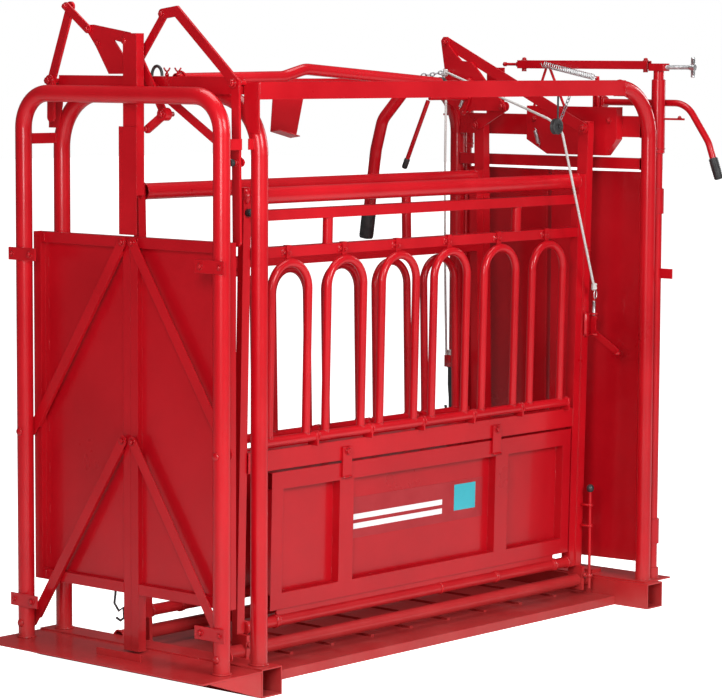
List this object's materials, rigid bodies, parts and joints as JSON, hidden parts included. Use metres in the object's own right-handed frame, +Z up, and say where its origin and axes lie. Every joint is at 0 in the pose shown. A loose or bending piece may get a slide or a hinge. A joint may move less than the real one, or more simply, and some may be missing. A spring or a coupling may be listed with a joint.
{
  "type": "cattle squeeze chute",
  "caption": "Cattle squeeze chute: pipe-framed crush with hinged squeeze sides, fold-down bars, drop panels, lifting tail doors and a swinging head gate",
  "frame": {"origin": "On the ground under the middle of the floor pan, on the underside of its central bearer", "axes": "+X from the tailgate towards the head gate, +Y towards the animal's left, +Z up"},
  "size_m": [2.75, 1.3997, 2.404],
  "materials": {
    "red_paint": "gloss red paint",
    "zinc": "zinc plated",
    "black_grip": "black satin paint",
    "rope": "white braided cord"
  },
  "bodies": {
    "frame": {"rear_base": "red_paint", "front_base": "red_paint", "floor_pan": "red_paint", "rear_hoop": "red_paint", "inner_hoop": "red_paint", "left_top_rail": "red_paint", "right_top_rail": "red_paint", "tail_frame": "red_paint", "head_gate_frame": "red_paint", "gate_cover": "red_paint", "rope_pulley": "black_grip", "right_rope": "rope", "left_rope": "rope"},
    "left_upper_link": {"left_upper_link": "red_paint"},
    "left_lower_link": {"left_lower_link": "red_paint"},
    "left_tail_door": {"left_tail_door": "red_paint"},
    "right_upper_link": {"right_upper_link": "red_paint"},
    "right_lower_link": {"right_lower_link": "red_paint"},
    "right_tail_door": {"right_tail_door": "red_paint"},
    "left_top_lever": {"left_top_lever": "red_paint"},
    "right_top_lever": {"right_top_lever": "red_paint"},
    "rocker": {"rocker": "red_paint"},
    "left_tie_link": {"left_tie_link": "red_paint"},
    "cross_tie_bar": {"cross_tie_bar": "red_paint"},
    "drive_link": {"drive_link": "red_paint"},
    "bell_crank": {"bell_crank": "red_paint"},
    "tail_handle": {"tail_handle": "red_paint"},
    "left_side": {"left_side_frame": "red_paint"},
    "right_side": {"right_side_frame": "red_paint"},
    "squeeze_ratchet": {"ratchet_plate": "red_paint", "squeeze_handle": "red_paint"},
    "long_arm": {"long_arm": "red_paint"},
    "short_link": {"short_link": "red_paint"},
    "release_lever": {"release_lever": "red_paint"},
    "left_lower_panel": {"left_lower_panel": "red_paint"},
    "left_rear_panel_latch": {"left_rear_panel_latch": "red_paint"},
    "left_front_panel_latch": {"left_front_panel_latch": "red_paint"},
    "left_drop_bar_1": {"left_drop_bar_1": "red_paint"},
    "left_drop_bar_2": {"left_drop_bar_2": "red_paint"},
    "left_drop_bar_3": {"left_drop_bar_3": "red_paint"},
    "left_drop_bar_4": {"left_drop_bar_4": "red_paint"},
    "left_drop_bar_5": {"left_drop_bar_5": "red_paint"},
    "left_drop_bar_6": {"left_drop_bar_6": "red_paint"},
    "right_lower_panel": {"right_lower_panel": "red_paint"},
    "right_rear_panel_latch": {"right_rear_panel_latch": "red_paint"},
    "right_front_panel_latch": {"right_front_panel_latch": "red_paint"},
    "right_drop_bar_1": {"right_drop_bar_1": "red_paint"},
    "right_drop_bar_2": {"right_drop_bar_2": "red_paint"},
    "right_drop_bar_3": {"right_drop_bar_3": "red_paint"},
    "right_drop_bar_4": {"right_drop_bar_4": "red_paint"},
    "right_drop_bar_5": {"right_drop_bar_5": "red_paint"},
    "right_drop_bar_6": {"right_drop_bar_6": "red_paint"},
    "right_gate_door": {"right_gate_door": "red_paint"},
    "left_gate_door": {"left_gate_door": "red_paint"},
    "gate_lever": {"gate_lever": "red_paint"},
    "adjusting_bar": {"adjusting_bar": "red_paint"},
    "adjusting_screw": {"adjusting_screw": "zinc"},
    "right_latch": {"right_latch": "red_paint"},
    "left_latch": {"left_latch": "black_grip"},
    "latch_rod": {"latch_rod": "red_paint"}
  },
  "joints": [
    {"name": "left_upper_link_swing", "type": "hinge", "parent": "frame", "child": "left_upper_link", "pos_m": [-1.2785, 0.495, 0.853], "axis": [-1, 0, 0], "range_deg": [0, 28]},
    {"name": "left_lower_link_swing", "type": "hinge", "parent": "frame", "child": "left_lower_link", "pos_m": [-1.2785, 0.495, 0.15], "axis": [-1, 0, 0], "range_deg": [0, 28]},
    {"name": "left_tail_door_swing", "type": "hinge", "parent": "left_upper_link", "child": "left_tail_door", "pos_m": [-1.263, 0.025, 1.559], "axis": [-1, 0, 0], "range_deg": [-28, 0]},
    {"name": "right_upper_link_swing", "type": "hinge", "parent": "frame", "child": "right_upper_link", "pos_m": [-1.2785, -0.495, 0.853], "axis": [1, 0, 0], "range_deg": [0, 28]},
    {"name": "right_lower_link_swing", "type": "hinge", "parent": "frame", "child": "right_lower_link", "pos_m": [-1.2785, -0.495, 0.15], "axis": [1, 0, 0], "range_deg": [0, 28]},
    {"name": "right_tail_door_swing", "type": "hinge", "parent": "right_upper_link", "child": "right_tail_door", "pos_m": [-1.263, -0.025, 1.559], "axis": [1, 0, 0], "range_deg": [-28, 0]},
    {"name": "left_top_lever_swing", "type": "hinge", "parent": "frame", "child": "left_top_lever", "pos_m": [-1.207, 0.46, 2.121], "axis": [1, 0, 0], "range_deg": [0, 42]},
    {"name": "right_top_lever_swing", "type": "hinge", "parent": "frame", "child": "right_top_lever", "pos_m": [-1.207, -0.46, 2.121], "axis": [-1, 0, 0], "range_deg": [0, 42]},
    {"name": "rocker_swing", "type": "hinge", "parent": "frame", "child": "rocker", "pos_m": [-1.22, 0.046, 2.263], "axis": [-1, 0, 0], "range_deg": [0, 60]},
    {"name": "left_tie_link_swing", "type": "hinge", "parent": "left_top_lever", "child": "left_tie_link", "pos_m": [-1.229, 0.358, 2.386], "axis": [1, 0, 0], "range_deg": [0, 3]},
    {"name": "cross_tie_bar_swing", "type": "hinge", "parent": "right_top_lever", "child": "cross_tie_bar", "pos_m": [-1.187, -0.466, 1.85], "axis": [1, 0, 0], "range_deg": [0, 25.4]},
    {"name": "drive_link_swing", "type": "hinge", "parent": "right_top_lever", "child": "drive_link", "pos_m": [-1.196, -0.108, 2.357], "axis": [1, 0, 0], "range_deg": [0, 57.2]},
    {"name": "bell_crank_swing", "type": "hinge", "parent": "frame", "child": "bell_crank", "pos_m": [-1.207, -0.116, 2.009], "axis": [-1, 0, 0], "range_deg": [0, 72]},
    {"name": "tail_handle_turn", "type": "hinge", "parent": "frame", "child": "tail_handle", "pos_m": [-1.1, -0.116, 2.131], "axis": [1, 0, 0], "range_deg": [0, 42]},
    {"name": "left_side_squeeze", "type": "hinge", "parent": "frame", "child": "left_side", "pos_m": [0, 0.252, 0.092], "axis": [-1, 0, 0], "range_deg": [-1.6, 2]},
    {"name": "right_side_squeeze", "type": "hinge", "parent": "frame", "child": "right_side", "pos_m": [0, -0.252, 0.092], "axis": [1, 0, 0], "range_deg": [-0.97, 1.21]},
    {"name": "squeeze_ratchet_turn", "type": "hinge", "parent": "frame", "child": "squeeze_ratchet", "pos_m": [0.985, 0.3, 2.105], "axis": [1, 0, 0], "range_deg": [-16, 20]},
    {"name": "long_arm_swing", "type": "hinge", "parent": "squeeze_ratchet", "child": "long_arm", "pos_m": [0.997, 0.433, 2.272], "axis": [1, 0, 0], "range_deg": [-16.5, 13.2]},
    {"name": "short_link_swing", "type": "hinge", "parent": "squeeze_ratchet", "child": "short_link", "pos_m": [0.997, 0.128, 2.012], "axis": [1, 0, 0], "range_deg": [-1.4, 1.7]},
    {"name": "release_lever_swing", "type": "hinge", "parent": "frame", "child": "release_lever", "pos_m": [0.85, 0.3, 2.044], "axis": [1, 0, 0], "range_deg": [0, 15]},
    {"name": "left_lower_panel_drop", "type": "hinge", "parent": "left_side", "child": "left_lower_panel", "pos_m": [0.049, 0.24164, 0.17223], "axis": [1, 0, 0], "range_deg": [-90, 0]},
    {"name": "left_rear_panel_latch_turn", "type": "hinge", "parent": "left_side", "child": "left_rear_panel_latch", "pos_m": [-0.413, 0.26753, 0.68081], "axis": [0, 0.9998, -0.0204], "range_deg": [0, 90]},
    {"name": "left_front_panel_latch_turn", "type": "hinge", "parent": "left_side", "child": "left_front_panel_latch", "pos_m": [0.47, 0.26753, 0.68081], "axis": [0, 0.9998, -0.0204], "range_deg": [0, 90]},
    {"name": "left_drop_bar_1_fold", "type": "hinge", "parent": "left_side", "child": "left_drop_bar_1", "pos_m": [-0.7255, 0.27756, 0.75562], "axis": [-1, 0, 0], "range_deg": [0, 165]},
    {"name": "left_drop_bar_2_fold", "type": "hinge", "parent": "left_side", "child": "left_drop_bar_2", "pos_m": [-0.4245, 0.27756, 0.75562], "axis": [-1, 0, 0], "range_deg": [0, 165]},
    {"name": "left_drop_bar_3_fold", "type": "hinge", "parent": "left_side", "child": "left_drop_bar_3", "pos_m": [-0.1235, 0.27756, 0.75562], "axis": [-1, 0, 0], "range_deg": [0, 165]},
    {"name": "left_drop_bar_4_fold", "type": "hinge", "parent": "left_side", "child": "left_drop_bar_4", "pos_m": [0.1775, 0.27756, 0.75562], "axis": [-1, 0, 0], "range_deg": [0, 165]},
    {"name": "left_drop_bar_5_fold", "type": "hinge", "parent": "left_side", "child": "left_drop_bar_5", "pos_m": [0.4785, 0.27756, 0.75562], "axis": [-1, 0, 0], "range_deg": [0, 165]},
    {"name": "left_drop_bar_6_fold", "type": "hinge", "parent": "left_side", "child": "left_drop_bar_6", "pos_m": [0.7795, 0.27756, 0.75562], "axis": [-1, 0, 0], "range_deg": [0, 165]},
    {"name": "right_lower_panel_drop", "type": "hinge", "parent": "right_side", "child": "right_lower_panel", "pos_m": [0.049, -0.24164, 0.17223], "axis": [-1, 0, 0], "range_deg": [-90, 0]},
    {"name": "right_rear_panel_latch_turn", "type": "hinge", "parent": "right_side", "child": "right_rear_panel_latch", "pos_m": [-0.413, -0.2692, 0.76279], "axis": [0, -0.9998, -0.0204], "range_deg": [0, 90]},
    {"name": "right_front_panel_latch_turn", "type": "hinge", "parent": "right_side", "child": "right_front_panel_latch", "pos_m": [0.47, -0.2692, 0.76279], "axis": [0, -0.9998, -0.0204], "range_deg": [0, 90]},
    {"name": "right_drop_bar_1_fold", "type": "hinge", "parent": "right_side", "child": "right_drop_bar_1", "pos_m": [-0.7495, -0.27923, 0.8376], "axis": [1, 0, 0], "range_deg": [0, 165]},
    {"name": "right_drop_bar_2_fold", "type": "hinge", "parent": "right_side", "child": "right_drop_bar_2", "pos_m": [-0.4485, -0.27923, 0.8376], "axis": [1, 0, 0], "range_deg": [0, 165]},
    {"name": "right_drop_bar_3_fold", "type": "hinge", "parent": "right_side", "child": "right_drop_bar_3", "pos_m": [-0.1475, -0.27923, 0.8376], "axis": [1, 0, 0], "range_deg": [0, 165]},
    {"name": "right_drop_bar_4_fold", "type": "hinge", "parent": "right_side", "child": "right_drop_bar_4", "pos_m": [0.1535, -0.27923, 0.8376], "axis": [1, 0, 0], "range_deg": [0, 165]},
    {"name": "right_drop_bar_5_fold", "type": "hinge", "parent": "right_side", "child": "right_drop_bar_5", "pos_m": [0.4545, -0.27923, 0.8376], "axis": [1, 0, 0], "range_deg": [0, 165]},
    {"name": "right_drop_bar_6_fold", "type": "hinge", "parent": "right_side", "child": "right_drop_bar_6", "pos_m": [0.7555, -0.27923, 0.8376], "axis": [1, 0, 0], "range_deg": [0, 165]},
    {"name": "right_gate_swing", "type": "hinge", "parent": "frame", "child": "right_gate_door", "pos_m": [1.204, -0.495, 0], "axis": [0, 0, -1], "range_deg": [0, 95]},
    {"name": "left_gate_swing", "type": "hinge", "parent": "frame", "child": "left_gate_door", "pos_m": [1.204, 0.495, 0], "axis": [0, 0, 1], "range_deg": [0, 95]},
    {"name": "gate_lever_swing", "type": "hinge", "parent": "frame", "child": "gate_lever", "pos_m": [1.249, -0.178, 2.033], "axis": [-1, 0, 0], "range_deg": [0, 60]},
    {"name": "adjusting_bar_slide", "type": "slide", "parent": "frame", "child": "adjusting_bar", "axis": [0, 1, 0], "range_m": [-0.008, 0.008]},
    {"name": "adjusting_screw_turn", "type": "hinge", "parent": "frame", "child": "adjusting_screw", "pos_m": [1.204, -0.59, 2.176], "axis": [0, 1, 0], "range_deg": [-576, 576]},
    {"name": "right_latch_swing", "type": "hinge", "parent": "right_side", "child": "right_latch", "pos_m": [1.05, -0.3, 1.165], "axis": [1, 0, 0], "range_deg": [-25, 0]},
    {"name": "left_latch_swing", "type": "hinge", "parent": "left_side", "child": "left_latch", "pos_m": [0.9, 0.322, 0.968], "axis": [1, 0, 0], "range_deg": [0, 30]},
    {"name": "latch_rod_lift", "type": "slide", "parent": "right_side", "child": "latch_rod", "axis": [0, 0, 1], "range_m": [0, 0.06]}
  ],
  "couplings": [
    {"joint": "left_lower_link_swing", "follows": "left_upper_link_swing", "ratio": 1},
    {"joint": "left_tail_door_swing", "follows": "left_upper_link_swing", "ratio": -1},
    {"joint": "right_upper_link_swing", "follows": "left_upper_link_swing", "ratio": 1},
    {"joint": "right_lower_link_swing", "follows": "left_upper_link_swing", "ratio": 1},
    {"joint": "right_tail_door_swing", "follows": "left_upper_link_swing", "ratio": -1},
    {"joint": "left_top_lever_swing", "follows": "left_upper_link_swing", "ratio": 1.5},
    {"joint": "right_top_lever_swing", "follows": "left_upper_link_swing", "ratio": 1.5},
    {"joint": "rocker_swing", "follows": "left_upper_link_swing", "ratio": 2.143},
    {"joint": "left_tie_link_swing", "follows": "left_upper_link_swing", "ratio": 0.107},
    {"joint": "cross_tie_bar_swing", "follows": "left_upper_link_swing", "ratio": 0.907},
    {"joint": "drive_link_swing", "follows": "left_upper_link_swing", "ratio": 2.04},
    {"joint": "bell_crank_swing", "follows": "left_upper_link_swing", "ratio": 2.571},
    {"joint": "tail_handle_turn", "follows": "left_upper_link_swing", "ratio": 1.5},
    {"joint": "right_side_squeeze", "follows": "left_side_squeeze", "ratio": 0.6},
    {"joint": "squeeze_ratchet_turn", "follows": "left_side_squeeze", "ratio": 10},
    {"joint": "long_arm_swing", "follows": "left_side_squeeze", "ratio": -8.2},
    {"joint": "short_link_swing", "follows": "left_side_squeeze", "ratio": 0.8},
    {"joint": "left_gate_swing", "follows": "right_gate_swing", "ratio": 1},
    {"joint": "gate_lever_swing", "follows": "right_gate_swing", "ratio": 0.63158},
    {"joint": "adjusting_screw_turn", "follows": "adjusting_bar_slide", "rad_per_m": 1256.6}
  ]
}
